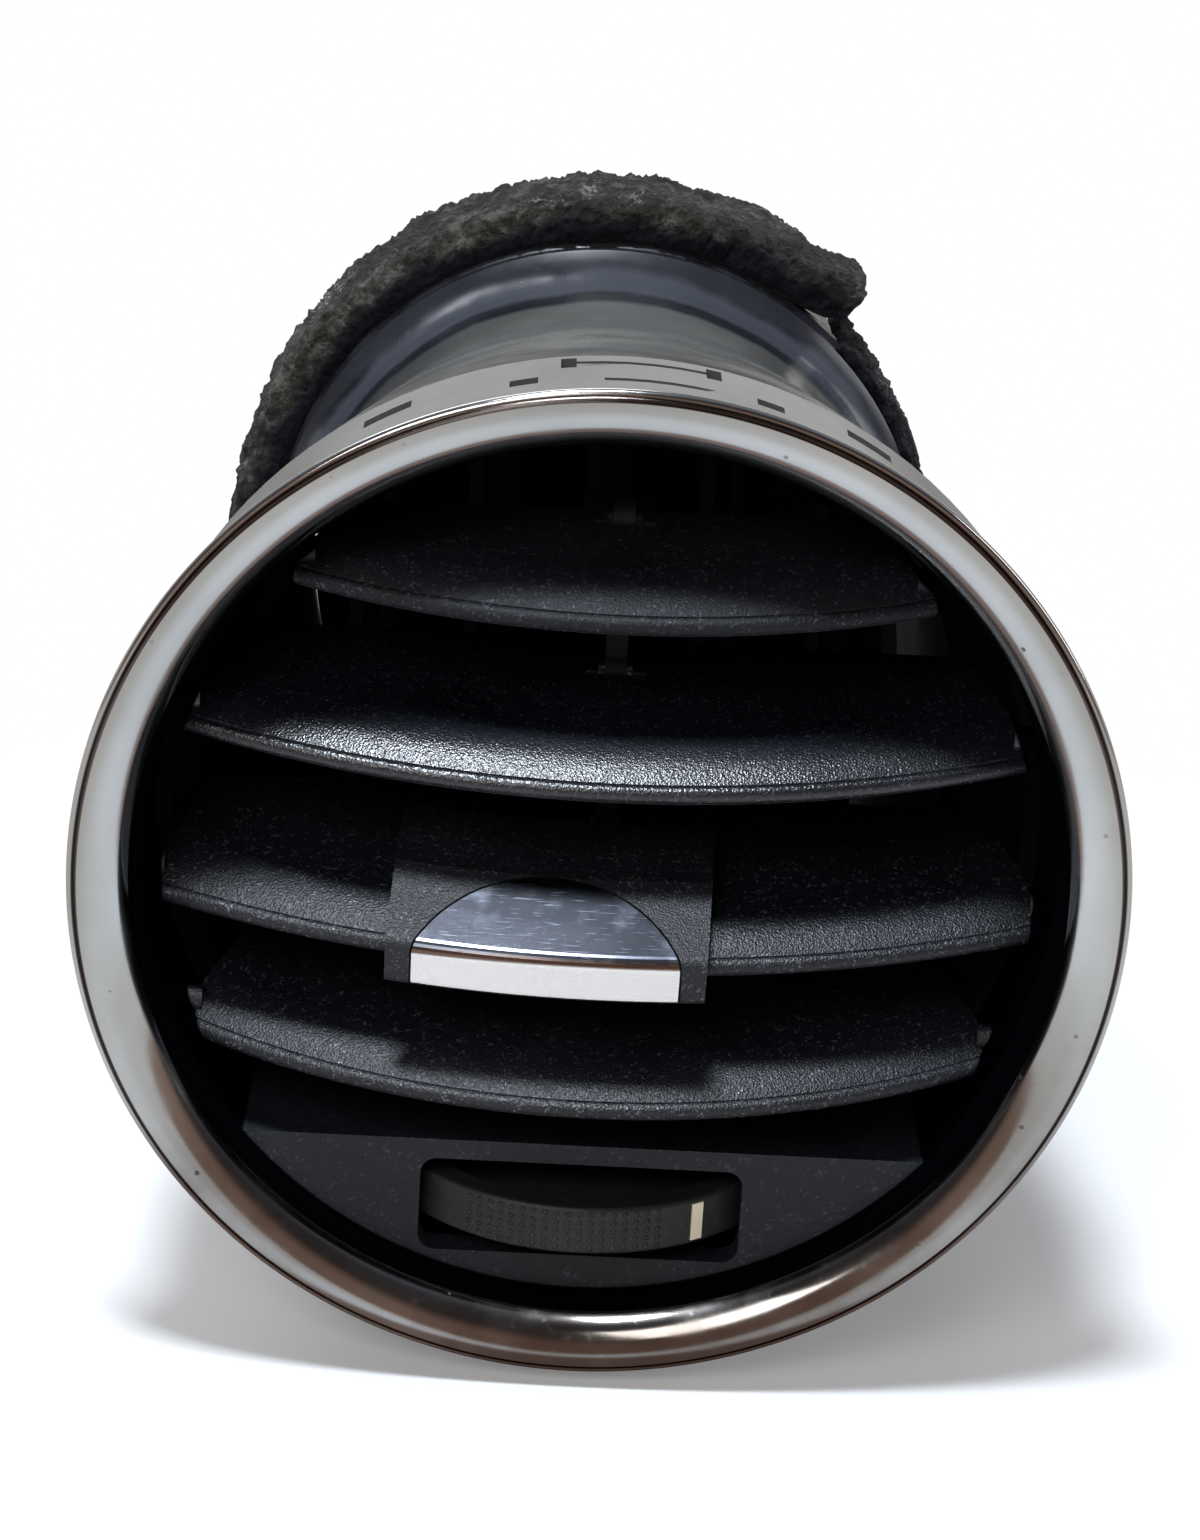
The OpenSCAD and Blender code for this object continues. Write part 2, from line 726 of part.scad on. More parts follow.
// Vane i, counted from the left; the middle one carries the driven bar
module vane(i) {
    x = (i - 3) * vane_pitch;
    low = floor_top + 0.4;
    top_pivot = sqrt(pow(frame_in(vane_y) - vane_gap, 2) - x * x) - 0.2;
    top_front = vane_room(x, vane_y - vane_ahead, vane_ahead);
    top_rear = vane_room(x, vane_y + vane_behind, vane_behind);
    low_rear = max(low, -vane_room(x, vane_y + vane_behind, vane_behind));
    color([0.08, 0.08, 0.09])
    translate([x, vane_y, 0])
        rotate([0, 0, -vane_rest]) {
            difference() {
                union() {
                    rotate([90, 0, 90])
                        translate([0, 0, -vane_t / 2])
                            linear_extrude(vane_t)
                                polygon([[-vane_ahead, low], [3, low], [vane_behind, low_rear],
                                         [vane_behind, top_rear], [1.8, top_pivot], [-1.8, top_pivot],
                                         [-vane_ahead, top_front]]);
                    translate([0, 0, low])
                        cylinder(r = pin_r + 0.5, h = top_pivot - low, $fn = 40);
                    translate([0, 0, low - 1.6])
                        cylinder(r = pin_r, h = top_pivot - low + 3, $fn = 40);
                }
                // notch for the vanes' tie bar
                translate([-3, vane_tie_back - 2.2, vane_tie_z - 1.6])
                    cube([6, cut, 3.2]);
                if (i == 3)
                    // room for the knob's fork
                    translate([-3, -vane_ahead - 1, slat_z[2] - drive_half + 1.6])
                        cube([6, vane_ahead - 1.7, 2 * drive_half - 3.2]);
            }
            // pin of the vanes' tie bar
            translate([0, vane_tie_back, vane_tie_z - 1.8])
                cylinder(r = tie_pin_r, h = 3.6, $fn = 32);
            if (i == 3) {
                for (s = [-1, 1])
                    translate([-vane_t / 2, -drive_arm, slat_z[2] + s * (drive_half - 0.8) - 0.8])
                        cube([vane_t, drive_arm - vane_ahead + 1, 1.6]);
                translate([0, -drive_arm, slat_z[2] - drive_half])
                    cylinder(r = drive_r, h = 2 * drive_half, $fn = 40);
            }
        }
}

module vane_tie_bar() {
    dx = vane_tie_back * sin(vane_rest);
    dy = vane_tie_back * cos(vane_rest);
    color([0.1, 0.1, 0.11])
    translate([dx, vane_y + dy, vane_tie_z - vane_tie_t / 2])
        difference() {
            union() {
                translate([-2 * vane_pitch, -1.1, 0])
                    cube([4 * vane_pitch, 2.2, vane_tie_t]);
                for (i = [-2:2])
                    translate([i * vane_pitch, 0, 0])
                        cylinder(r = tie_pin_r + 1, h = vane_tie_t, $fn = 32);
            }
            for (i = [-2:2])
                translate([i * vane_pitch, 0, -1])
                    cylinder(r = tie_pin_r + run_gap, h = 4, $fn = 32);
        }
}

marker_w = 1.3;
marker_h = wheel_t - 0.9;

// Children at the marker's place on the wheel, +Y pointing back to the axle
module at_marker() {
    translate([0, wheel_y, wheel_z])
        rotate([0, 0, marker_angle])
            translate([0, -wheel_r, 0])
                children();
}

module thumbwheel() {
    rim = 2.4;
    hub_r = 4.4;
    web = 1.6;
    color([0.13, 0.13, 0.14])
    difference() {
        union() {
            translate([0, wheel_y, wheel_z])
                rotate_extrude($fn = 180) {
                    translate([0, -web / 2])
                        square([wheel_r - 1, web]);
                    translate([wheel_r - rim, -wheel_t / 2 + 0.4])
                        square([rim, wheel_t - 0.8]);
                    translate([wheel_r - rim, -wheel_t / 2])
                        square([rim - 0.4, wheel_t]);
                    for (s = [-1, 1])
                        translate([wheel_r - 0.4, s * (wheel_t / 2 - 0.4)])
                            circle(0.4, $fn = 24);
                    translate([0, -wheel_t / 2])
                        square([hub_r, wheel_t]);
                }
            // crank pin with its shoulder, under the wheel
            translate([crank_x, wheel_y + crank_ahead, 0]) {
                translate([0, 0, rod_z - 0.3])
                    cylinder(r = pin_r, h = wheel_z - rod_z, $fn = 32);
                translate([0, 0, rod_z + rod_t + 0.2])
                    cylinder(r = pin_r + 0.8, h = wheel_z - rod_z - rod_t, $fn = 32);
            }
        }
        translate([0, wheel_y, wheel_z - 10])
            cylinder(r = axle_r + run_gap, h = 20, $fn = 40);
        at_marker()
            translate([-marker_w / 2, -1, -marker_h / 2])
                cube([marker_w, 1.8, marker_h]);
    }
}

module wheel_marker() {
    color("wheat")
    at_marker()
        translate([-marker_w / 2 + 0.05, -0.12, -marker_h / 2 + 0.05])
            cube([marker_w - 0.1, 0.92, marker_h - 0.1]);
}

module wheel_axle() {
    low = wheel_z - wheel_t / 2 - 1.2;
    color("silver")
    translate([0, wheel_y, 0]) {
        translate([0, 0, low])
            cylinder(r = axle_r, h = floor_top - 0.3 - low, $fn = 40);
        translate([0, 0, low - 0.8])
            cylinder(r = axle_r + 1.2, h = 0.8, $fn = 40);
    }
}

// Friction washer between the wheel and the head of its axle
module wheel_washer() {
    low = wheel_z - wheel_t / 2 - 1.15;
    color("dimgray")
    translate([0, wheel_y, low])
        difference() {
            cylinder(r = 4, h = 0.9, $fn = 40);
            translate([0, 0, -1])
                cylinder(r = axle_r + run_gap, h = 3, $fn = 40);
        }
}

module push_rod() {
    color([0.75, 0.75, 0.72])
    translate([crank_x, 0, rod_z])
        difference() {
            union() {
                translate([-rod_w / 2 + 0.6, wheel_y + crank_ahead, 0])
                    cube([rod_w - 1.2, damper_y - wheel_y, rod_t]);
                for (y = [wheel_y, damper_y])
                    translate([0, y + crank_ahead, 0])
                        cylinder(r = rod_w / 2 + 0.5, h = rod_t, $fn = 40);
            }
            for (y = [wheel_y, damper_y])
                translate([0, y + crank_ahead, -1])
                    cylinder(r = pin_r + run_gap, h = 5, $fn = 32);
        }
}

module damper_crank() {
    color([0.16, 0.16, 0.17])
    translate([0, damper_y, 0])
        difference() {
            union() {
                translate([0, 0, crank_z])
                    cylinder(r = shaft_r + 1.6, h = crank_t, $fn = 40);
                translate([0, 0, crank_z])
                    rotate([0, 0, marker_angle])
                        translate([0, -1.7, 0])
                            cube([crank_r, 3.4, crank_t]);
                translate([crank_x, crank_ahead, crank_z])
                    cylinder(r = 2.4, h = crank_t, $fn = 40);
                translate([crank_x, crank_ahead, rod_z - 0.3])
                    cylinder(r = pin_r, h = crank_z - rod_z + 0.5, $fn = 32);
            }
            translate([0, 0, crank_z - 1])
                cylinder(r = shaft_r + run_gap, h = 4, $fn = 40);
        }
}

module damper_shaft() {
    low = crank_z - 0.4;
    color("silver")
    translate([0, damper_y, low])
        cylinder(r = shaft_r, h = neck_r - 0.6 - low, $fn = 40);
}

// A flat plate on the shaft's axis, turned to its closed place and cut to the duct's round section
module flap_plate(r, t) {
    intersection() {
        tube_y(r, damper_y - 2 * r, damper_y + 2 * r);
        translate([0, damper_y, 0])
            rotate([0, 0, close_angle])
                translate([-t / 2, -2 * r, -r])
                    cube([t, 4 * r, 2 * r]);
    }
}

module damper_flap() {
    hub_r = shaft_r + 1.3;
    color([0.09, 0.09, 0.1])
    difference() {
        union() {
            flap_plate(flap_r - gasket_w, flap_t);
            translate([0, damper_y, -flap_r + gasket_w + 0.3])
                cylinder(r = hub_r, h = 2 * (flap_r - gasket_w - 0.3), $fn = 40);
        }
        translate([0, damper_y, -flap_r - 1])
            cylinder(r = shaft_r + run_gap, h = 2 * flap_r + 2, $fn = 40);
    }
}

// Felt edge of the flap: a closed band round the plate, with a collar round each end of the shaft
module flap_gasket() {
    color("darkslategray")
    difference() {
        union() {
            difference() {
                flap_plate(flap_r, flap_t + gasket_t);
                flap_plate(flap_r - gasket_w + 0.02, 3 * flap_t);
            }
            for (s = [-1, 1])
                translate([0, damper_y, s > 0 ? flap_r - gasket_w + 0.02 : -flap_r + 0.15])
                    cylinder(r = shaft_r + 1.3, h = gasket_w - 0.17, $fn = 40);
        }
        translate([0, damper_y, -flap_r - 1])
            cylinder(r = shaft_r + run_gap, h = 2 * flap_r + 2, $fn = 40);
    }
}

module foam_seal() {
    foam_y = flange_y + flange_t + fit_gap;
    color([0.2, 0.21, 0.18])
    turned()
        translate([collar_r + fit_gap, foam_y])
            square([foam_t, foam_w]);
}

bezel_ring();
housing();
face_frame();
slat(0);  // slat_1
slat(1);  // slat_2
slat(2);  // slat_3
slat(3);  // slat_4
slat_tie_bar();
knob_body();
knob_insert();
knob_clip();
knob_fork();
vane_frame();
vane(1);  // vane_1
vane(2);  // vane_2
vane(3);  // vane_3
vane(4);  // vane_4
vane(5);  // vane_5
vane_tie_bar();
thumbwheel();
wheel_marker();
wheel_axle();
wheel_washer();
push_rod();
damper_crank();
damper_shaft();
damper_flap();
flap_gasket();
foam_seal();
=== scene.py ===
import math

import bmesh
import bpy
from mathutils import Matrix, Vector, noise


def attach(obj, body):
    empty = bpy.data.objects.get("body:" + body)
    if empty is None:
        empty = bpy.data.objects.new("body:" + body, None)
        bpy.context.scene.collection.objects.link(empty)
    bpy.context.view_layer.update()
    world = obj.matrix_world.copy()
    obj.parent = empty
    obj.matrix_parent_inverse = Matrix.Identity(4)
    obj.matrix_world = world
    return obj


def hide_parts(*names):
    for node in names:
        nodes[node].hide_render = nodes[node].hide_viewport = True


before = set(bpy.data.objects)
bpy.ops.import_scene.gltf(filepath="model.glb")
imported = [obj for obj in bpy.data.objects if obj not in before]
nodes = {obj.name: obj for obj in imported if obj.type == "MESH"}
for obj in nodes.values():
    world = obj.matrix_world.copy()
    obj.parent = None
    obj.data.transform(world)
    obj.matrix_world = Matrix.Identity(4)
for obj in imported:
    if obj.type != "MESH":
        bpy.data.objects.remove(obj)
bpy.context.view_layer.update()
mm = 0.001
print("frame loaded:", len(nodes), "nodes")


# Shader trees written as Python expressions

class Wire:
    def __init__(self, tree, socket):
        self.tree, self.socket = tree, socket

    def maths(self, operation, a, b):
        return self.tree.add("ShaderNodeMath", {"operation": operation}, {0: a, 1: b})

    def __add__(self, other):
        return self.maths("ADD", self, other)

    def __radd__(self, other):
        return self.maths("ADD", other, self)

    def __sub__(self, other):
        return self.maths("SUBTRACT", self, other)

    def __rsub__(self, other):
        return self.maths("SUBTRACT", other, self)

    def __mul__(self, other):
        return self.maths("MULTIPLY", self, other)

    def __truediv__(self, other):
        return self.maths("DIVIDE", self, other)

    def __pow__(self, other):
        return self.maths("POWER", self, other)

    def __lt__(self, other):
        return self.maths("LESS_THAN", self, other)

    def __neg__(self):
        return self.maths("MULTIPLY", self, -1)


class Shader:
    def __init__(self, name, **fixed):
        self.material = bpy.data.materials.new(name)
        self.material.use_nodes = True
        self.tree = self.material.node_tree
        self.nodes, self.links = self.tree.nodes, self.tree.links
        self.surface = self.nodes["Principled BSDF"]
        self.set(**fixed)
        self.place = self.add("ShaderNodeTexCoord", out="Object")

    def add(self, kind, settings=None, inputs=None, out=0):
        node = self.nodes.new(kind)
        for key, value in (settings or {}).items():
            if key == "stops":
                ramp = node.color_ramp
                while len(ramp.elements) < len(value):
                    ramp.elements.new(0.5)
                for element, (position, colour) in zip(ramp.elements, value):
                    element.position, element.color = position, (*colour, 1)
            else:
                setattr(node, key, value)
        for key, value in (inputs or {}).items():
            self.feed(node.inputs[key], value)
        output = node.outputs[out] if len(node.outputs) else None
        return Wire(self, output)

    def feed(self, socket, value):
        if isinstance(value, Wire):
            self.links.new(value.socket, socket)
        elif isinstance(value, tuple):
            socket.default_value = (*value, 1) if socket.type == "RGBA" and len(value) == 3 else value
        else:
            socket.default_value = value

    def set(self, **values):
        for key, value in values.items():
            self.feed(self.surface.inputs[socketNames[key]], value)

    def noise(self, scale, detail=3.0, rough=0.55, stretch=None, seed=0.0):
        place = self.place
        if stretch or seed:
            place = self.add("ShaderNodeMapping", inputs={"Vector": place, "Scale": stretch or (1, 1, 1),
                                                          "Location": (seed, seed * 0.7, -seed)})
        return self.add("ShaderNodeTexNoise", inputs={"Vector": place, "Scale": scale, "Detail": detail,
                                                      "Roughness": rough})

    def cells(self, scale, out="Distance"):
        return self.add("ShaderNodeTexVoronoi", inputs={"Vector": self.place, "Scale": scale}, out=out)

    def ramp(self, factor, *stops):
        return self.add("ShaderNodeValToRGB", {"stops": stops}, {"Fac": factor}, "Color")

    def step(self, factor, low, high):
        return self.add("ShaderNodeMapRange", {"interpolation_type": "SMOOTHSTEP"},
                        {"Value": factor, "From Min": low, "From Max": high})

    def mix(self, factor, a, b, blend="MIX"):
        node = self.nodes.new("ShaderNodeMix")
        node.data_type, node.blend_type = "RGBA", blend
        # sockets 6 and 7 of a mix node are its two colours, and output 2 is the mixed one
        for index, value in ((0, factor), (6, a), (7, b)):
            self.feed(node.inputs[index], value)
        return Wire(self, node.outputs[2])

    def bump(self, height, depth, strength=1.0, below=None):
        inputs = {"Height": height, "Distance": depth, "Strength": strength}
        if below is not None:
            inputs["Normal"] = below
        return self.add("ShaderNodeBump", inputs=inputs)

    def axis(self, name):
        return self.add("ShaderNodeSeparateXYZ", inputs={"Vector": self.place}, out=name)

    def fromAxis(self):
        x, z = self.axis("X"), self.axis("Z")
        return (x * x + z * z) ** 0.5

    def now(self, name):
        return Wire(self, self.surface.inputs[name].links[0].from_socket)


socketNames = {"colour": "Base Color", "rough": "Roughness", "metal": "Metallic", "normal": "Normal",
               "specular": "Specular IOR Level", "sheen": "Sheen Weight"}


def chromeMaterial(name, values):
    s = Shader(name, metal=1.0)
    smudge = s.noise(values["smudge"], 4, 0.6)
    filmAndSheen = s.step(s.noise(values["smudge"] * 2.6, 5, 0.65, seed=5), 0.45, 0.72)
    scratch = s.noise(values["scratchScale"], 2, 0.5, stretch=values["grain"])
    lines = s.step(scratch, 0.62, 0.70)
    pitted = s.step(s.noise(95, 2), 0.50, 0.62)
    pits = s.step(s.cells(values["pitScale"]), 0.13, 0.05) * pitted * values["pits"]
    tint = s.ramp(smudge, (0.3, values["dark"]), (0.7, values["light"]))
    s.set(colour=s.mix(pits * 0.7, tint, (0.10, 0.075, 0.06)),
          rough=filmAndSheen * values["hazeAndSheen"] + values["rough"] + lines * values["lineHaze"] + pits * 0.3,
          normal=s.bump(scratch, 0.02 * mm, values["scratch"], s.bump(pits, -0.05 * mm, 0.5)))
    return s


def grainMaterial(name, values):
    s = Shader(name, specular=values["specular"])
    spark = s.cells(values["grainScale"], out="Color")
    pebble = s.cells(values["grainScale"])
    soft = s.noise(values["grainScale"] * 0.7, 2)
    # pale flecks of painted glint: grain catching the light, painted into the colour
    paintedGlint = s.step(spark, 0.70, 0.84) * s.step(s.noise(values["grainScale"] * 0.25, 2), 0.42, 0.6)
    dust = s.step(s.noise(420, 4, 0.7), 0.66, 0.8) * s.step(s.noise(60, 3), 0.4, 0.7)
    tone = s.ramp(s.noise(60, 3), (0.3, values["dark"]), (0.7, values["light"]))
    tone = s.mix(paintedGlint * values["paintedGlint"], tone, (0.30, 0.31, 0.35))
    s.set(colour=s.mix(dust * values["dust"], tone, (0.20, 0.20, 0.21)),
          rough=values["rough"] + s.step(s.noise(35, 3), 0.3, 0.7) * 0.08 - paintedGlint * 0.12,
          normal=s.bump(pebble * 0.7 + soft, values["depth"] * mm, 0.9))
    return s


# Painted shade: everything further from the axis than the radius goes black, standing in for the deep shade
# by the sleeve
def paintWallShade(shader, radius, tone):
    wallShade = shader.step(shader.fromAxis(), radius - 0.3 * mm, radius)
    shader.set(colour=shader.mix(wallShade, shader.now("Base Color"), tone),
               rough=shader.now("Roughness") + wallShade * 0.3, metal=wallShade)


def plainMaterial(name, colour, rough, spread=0.25, bump=0.01, scale=300, specular=0.5):
    s = Shader(name, specular=specular)
    wear = s.noise(90, 4, 0.6)
    s.set(colour=s.ramp(wear, (0.3, tuple(c * (1 - spread) for c in colour)),
                        (0.7, tuple(c * (1 + spread) for c in colour))),
          rough=rough + s.step(s.noise(45, 3), 0.3, 0.7) * 0.15,
          normal=s.bump(s.noise(scale, 3), bump * mm, 0.6))
    return s


def glossMaterial(values):
    s = Shader("glossBlack", specular=0.6)
    filmAndSheen = s.noise(38, 5, 0.62)
    dust = s.step(s.noise(700, 4, 0.75), 0.60, 0.78)
    scuff = s.noise(240, 3, 0.5, stretch=(1, 0.12, 1))
    # painted shade: the inner side of the duct, nearer the axis than the middle of the wall, goes near black
    # and rough
    wallMiddle = s.add("ShaderNodeMapRange",
                       inputs={"Value": s.axis("Y"), "From Min": values["coneFrom"] * mm,
                               "From Max": values["coneTo"] * mm, "To Min": values["wideWall"] * mm,
                               "To Max": values["narrowWall"] * mm})
    shadedInside = s.fromAxis() < wallMiddle
    base = s.ramp(filmAndSheen, (0.3, values["dark"]), (0.75, values["light"]))
    base = s.mix(dust * s.step(filmAndSheen, 0.4, 0.7) * 0.55, base, values["dust"])
    # painted reflections: a blue-grey ring in the flare, and a grey sheen over the top as far as a wavy edge
    along = s.axis("Y") + (s.noise(55, 3, 0.5, stretch=(1, 0.2, 1)) - 0.5) * 8 * mm
    ringFrom, ringTo, soft = values["ringFrom"] * mm, values["ringTo"] * mm, 2 * mm
    ringReflection = s.step(along, ringFrom, ringFrom + soft) * s.step(along, ringTo, ringTo - soft)
    sheenEnd, low, high = values["sheenEnd"] * mm, values["sheenLow"] * mm, values["sheenHigh"] * mm
    hazeAndSheen = s.step(along, sheenEnd, sheenEnd - soft) * s.step(s.axis("Z"), low, high)
    base = s.mix(ringReflection * 0.9, base, values["ringReflection"])
    base = s.mix(hazeAndSheen * 0.7, base, values["filmAndSheen"])
    s.set(colour=s.mix(shadedInside, base, (0.004, 0.004, 0.005)),
          rough=s.step(filmAndSheen, 0.3, 0.75) * 0.22 + values["rough"] + shadedInside * 0.6,
          normal=s.bump(scuff, 0.03 * mm, 0.25))
    return s


def foamMaterial(values):
    s = Shader("foamStrip", specular=0.15, sheen=0.05)
    pores = s.cells(900)
    lumps = s.noise(420, 5, 0.75)
    large = s.noise(55, 4, 0.6)
    tone = s.ramp(lumps * 0.65 + large * 0.35, (0.36, values["deep"]), (0.52, values["middle"]),
                  (0.62, values["pale"]))
    worn = s.step(s.noise(46, 4, 0.65, seed=3), 0.50, 0.64) * s.step(s.noise(900, 3, 0.7), 0.52, 0.62)
    # the inner part of the front face stays in the duct's shade
    edge, front = values["shadeRadius"] * mm, values["shadeDepth"] * mm
    shaded = (s.step(s.fromAxis() + (large - 0.5) * 6 * mm, edge, edge - 2 * mm)
              * s.step(s.axis("Y"), front, front - 3 * mm))
    tone = s.mix(shaded, s.mix(worn * 0.7, tone, values["worn"]), values["shade"])
    s.set(colour=tone, rough=0.96, normal=s.bump(lumps + pores * 0.6, 0.9 * mm, 1.0))
    return s


finishes = {
    "bezel": chromeMaterial("bezelChrome", {
        "smudge": 30, "grain": (1, 1, 1), "scratchScale": 900, "pitScale": 420, "pits": 1,
        "dark": (0.50, 0.51, 0.50), "light": (0.66, 0.67, 0.66),
        "hazeAndSheen": 0.10, "rough": 0.12, "lineHaze": 0.04, "scratch": 0.12}),
    # painted shade on reflections: the insert's chrome is coloured far darker and bluer than chrome, so its
    # reflections come out dim
    "insert": chromeMaterial("insertChrome", {
        "smudge": 90, "grain": (0.05, 1, 1), "scratchScale": 7000, "pitScale": 900, "pits": 0,
        "dark": (0.080, 0.086, 0.104), "light": (0.150, 0.160, 0.190),
        "hazeAndSheen": 0.10, "rough": 0.20, "lineHaze": 0.12, "scratch": 0.012}),
    "grain": grainMaterial("grainedBlack", {
        "dark": (0.0036, 0.0046, 0.0076), "light": (0.0066, 0.0082, 0.0125), "grainScale": 4800,
        "rough": 0.255, "depth": 0.045, "paintedGlint": 0.10, "dust": 0.03, "specular": 0.8}),
    "grainUpper": grainMaterial("grainedUpper", {
        "dark": (0.0036, 0.0047, 0.0076), "light": (0.0066, 0.0082, 0.0125), "grainScale": 4800,
        "rough": 0.52, "depth": 0.06, "paintedGlint": 0.16, "dust": 0.05, "specular": 0.35}),
    "grainLower": grainMaterial("grainedLower", {
        "dark": (0.0038, 0.0049, 0.0080), "light": (0.0072, 0.0089, 0.0135), "grainScale": 4800,
        "rough": 0.38, "depth": 0.07, "paintedGlint": 0.24, "dust": 0.03, "specular": 0.55}),
    "knob": grainMaterial("knobBlack", {
        "dark": (0.0060, 0.0072, 0.0105), "light": (0.0095, 0.0112, 0.0155), "grainScale": 5200,
        "rough": 0.42, "depth": 0.06, "paintedGlint": 0.22, "dust": 0.05, "specular": 0.5}),
    "panel": grainMaterial("panelBlack", {
        "dark": (0.0070, 0.0095, 0.0140), "light": (0.0098, 0.0130, 0.0188), "grainScale": 3400,
        "rough": 0.5, "depth": 0.05, "paintedGlint": 0.08, "dust": 0.05, "specular": 0.5}),
    "wheel": grainMaterial("wheelRubber", {
        "dark": (0.015, 0.0145, 0.0145), "light": (0.023, 0.022, 0.0215), "grainScale": 3000,
        "rough": 0.46, "depth": 0.02, "paintedGlint": 0.05, "dust": 0.25, "specular": 0.5}),
    "plain": plainMaterial("plainBlack", (0.0050, 0.0058, 0.0080), 0.6, specular=0.3),
    # painted shade: the pieces deep inside the duct are coloured darker than the other black plastic
    "inner": plainMaterial("innerShadeBlack", (0.0022, 0.0027, 0.0045), 0.7, specular=0.12),
    "gloss": glossMaterial({
        "dark": (0.006, 0.007, 0.010), "light": (0.022, 0.023, 0.028), "dust": (0.26, 0.26, 0.28),
        "rough": 0.12, "coneFrom": 21, "coneTo": 78, "wideWall": 44.35, "narrowWall": 33.35,
        "ringReflection": (0.060, 0.066, 0.082), "ringFrom": 89.5, "ringTo": 97.5,
        "filmAndSheen": (0.135, 0.135, 0.125), "sheenEnd": 87, "sheenLow": 14, "sheenHigh": 38}),
    "link": plainMaterial("linkPlastic", (0.42, 0.41, 0.37), 0.45, 0.1),
    "steel": plainMaterial("shaftSteel", (0.55, 0.55, 0.56), 0.3, 0.1),
    "cream": plainMaterial("creamMarker", (0.78, 0.70, 0.50), 0.5, 0.12),
    "felt": plainMaterial("edgeFelt", (0.025, 0.026, 0.025), 0.9, 0.3, 0.2, 900),
    "foam": foamMaterial({
        "deep": (0.0025, 0.003, 0.002), "middle": (0.026, 0.025, 0.020), "pale": (0.098, 0.096, 0.082),
        "worn": (0.36, 0.355, 0.32), "shade": (0.0030, 0.0038, 0.0065), "shadeRadius": 41.2,
        "shadeDepth": 106.5}),
}


# Painted light on the bezel: a brown, darker painted reflection over the lower half, a browner outer edge and
# a painted shade line in the groove
bezelPaintedLight = {"from": 6, "to": 26, "lean": 0.16, "brown": (0.30, 0.235, 0.205),
           "edgeFrom": 45.8, "edgeTo": 47, "edge": (0.75, 0.66, 0.62),
           "lineFrom": 46.9, "lineTo": 47.6, "line": (0.070, 0.050, 0.042)}


def paintBezelLight(shader, t):
    radius, base = shader.fromAxis(), shader.now("Base Color")
    # painted reflection: the lower half browned and darkened in clouds
    below = shader.step(shader.axis("X") * t["lean"] - shader.axis("Z"), t["from"] * mm, t["to"] * mm)
    cloud = shader.step(shader.noise(38, 4, 0.62, seed=9), 0.40, 0.62)
    brownReflection = shader.mix(below * (cloud * 0.5 + 0.5), base, t["brown"], "MULTIPLY")
    edge = shader.step(radius, t["edgeFrom"] * mm, t["edgeTo"] * mm)
    outer = shader.mix(edge * 0.35, base, t["edge"], "MULTIPLY")
    # painted shade: a dark line in the groove
    line = (shader.step(radius, t["lineFrom"] * mm, (t["lineFrom"] + 0.12) * mm)
            * shader.step(radius, t["lineTo"] * mm, (t["lineTo"] - 0.15) * mm))
    shader.set(colour=shader.mix(line * 0.85, shader.mix(below * 0.85, outer, brownReflection), t["line"]))


# Painted reflections on the insert: its front band is painted paler and less mirror-like than its flat, with
# a brown line along the fold
insertReflections = {"fold": -4.25, "bendFrom": 0.35, "bendTo": 0.75, "bend": (0.24, 0.165, 0.13),
               "band": (0.82, 0.81, 0.79)}


def paintInsertReflections(shader, v):
    height, fold = shader.axis("Z"), v["fold"] * mm
    # painted reflection: a pale, mostly non-metal front band and a brown line just above the fold
    front = shader.step(height, fold + 0.12 * mm, fold - 0.12 * mm)
    bend = shader.step(height, fold + v["bendTo"] * mm, fold + v["bendFrom"] * mm)
    tone = shader.mix(bend * 0.85, shader.now("Base Color"), v["bend"])
    shader.set(colour=shader.mix(front, tone, v["band"]), metal=1 - front * 0.85)


paintInsertReflections(finishes["insert"], insertReflections)
paintBezelLight(finishes["bezel"], bezelPaintedLight)
# painted shade by the sleeve wall on the panel and the slats
paintWallShade(finishes["panel"], 41.7 * mm, (0.0025, 0.003, 0.0045))
for slatFinish in ("grain", "grainUpper", "grainLower"):
    paintWallShade(finishes[slatFinish], 40.3 * mm, (0.0012, 0.0015, 0.0025))
finishes["steel"].set(metal=1.0)
finishes["felt"].set(sheen=0.3)

dress = {
    "bezel_ring": "bezel", "housing": "gloss", "face_frame": "panel",
    "slat_1": "grainUpper", "slat_2": "grain", "slat_3": "grainLower", "slat_4": "grainLower",
    "slat_tie_bar": "plain", "knob_body": "knob", "knob_insert": "insert", "knob_clip": "plain",
    "knob_fork": "inner", "vane_frame": "inner", "vane_1": "inner", "vane_2": "inner", "vane_3": "inner",
    "vane_4": "inner", "vane_5": "inner", "vane_tie_bar": "inner", "thumbwheel": "wheel",
    "wheel_marker": "cream", "wheel_axle": "steel", "wheel_washer": "felt", "push_rod": "link",
    "damper_crank": "plain", "damper_shaft": "steel", "damper_flap": "inner", "flap_gasket": "felt",
    "foam_seal": "foam"}
for nodeName, finish in dress.items():
    mesh = nodes[nodeName].data
    mesh.materials.clear()
    mesh.materials.append(finishes[finish].material)
print("materials:", len(finishes))


def meshPiece(name, verts, faces, finish, smooth=True):
    mesh = bpy.data.meshes.new(name)
    mesh.from_pydata(verts, [], faces)
    mesh.update()
    if smooth:
        mesh.shade_smooth()
    piece = bpy.data.objects.new(name, mesh)
    bpy.context.collection.objects.link(piece)
    mesh.materials.append(finishes[finish].material)
    return piece


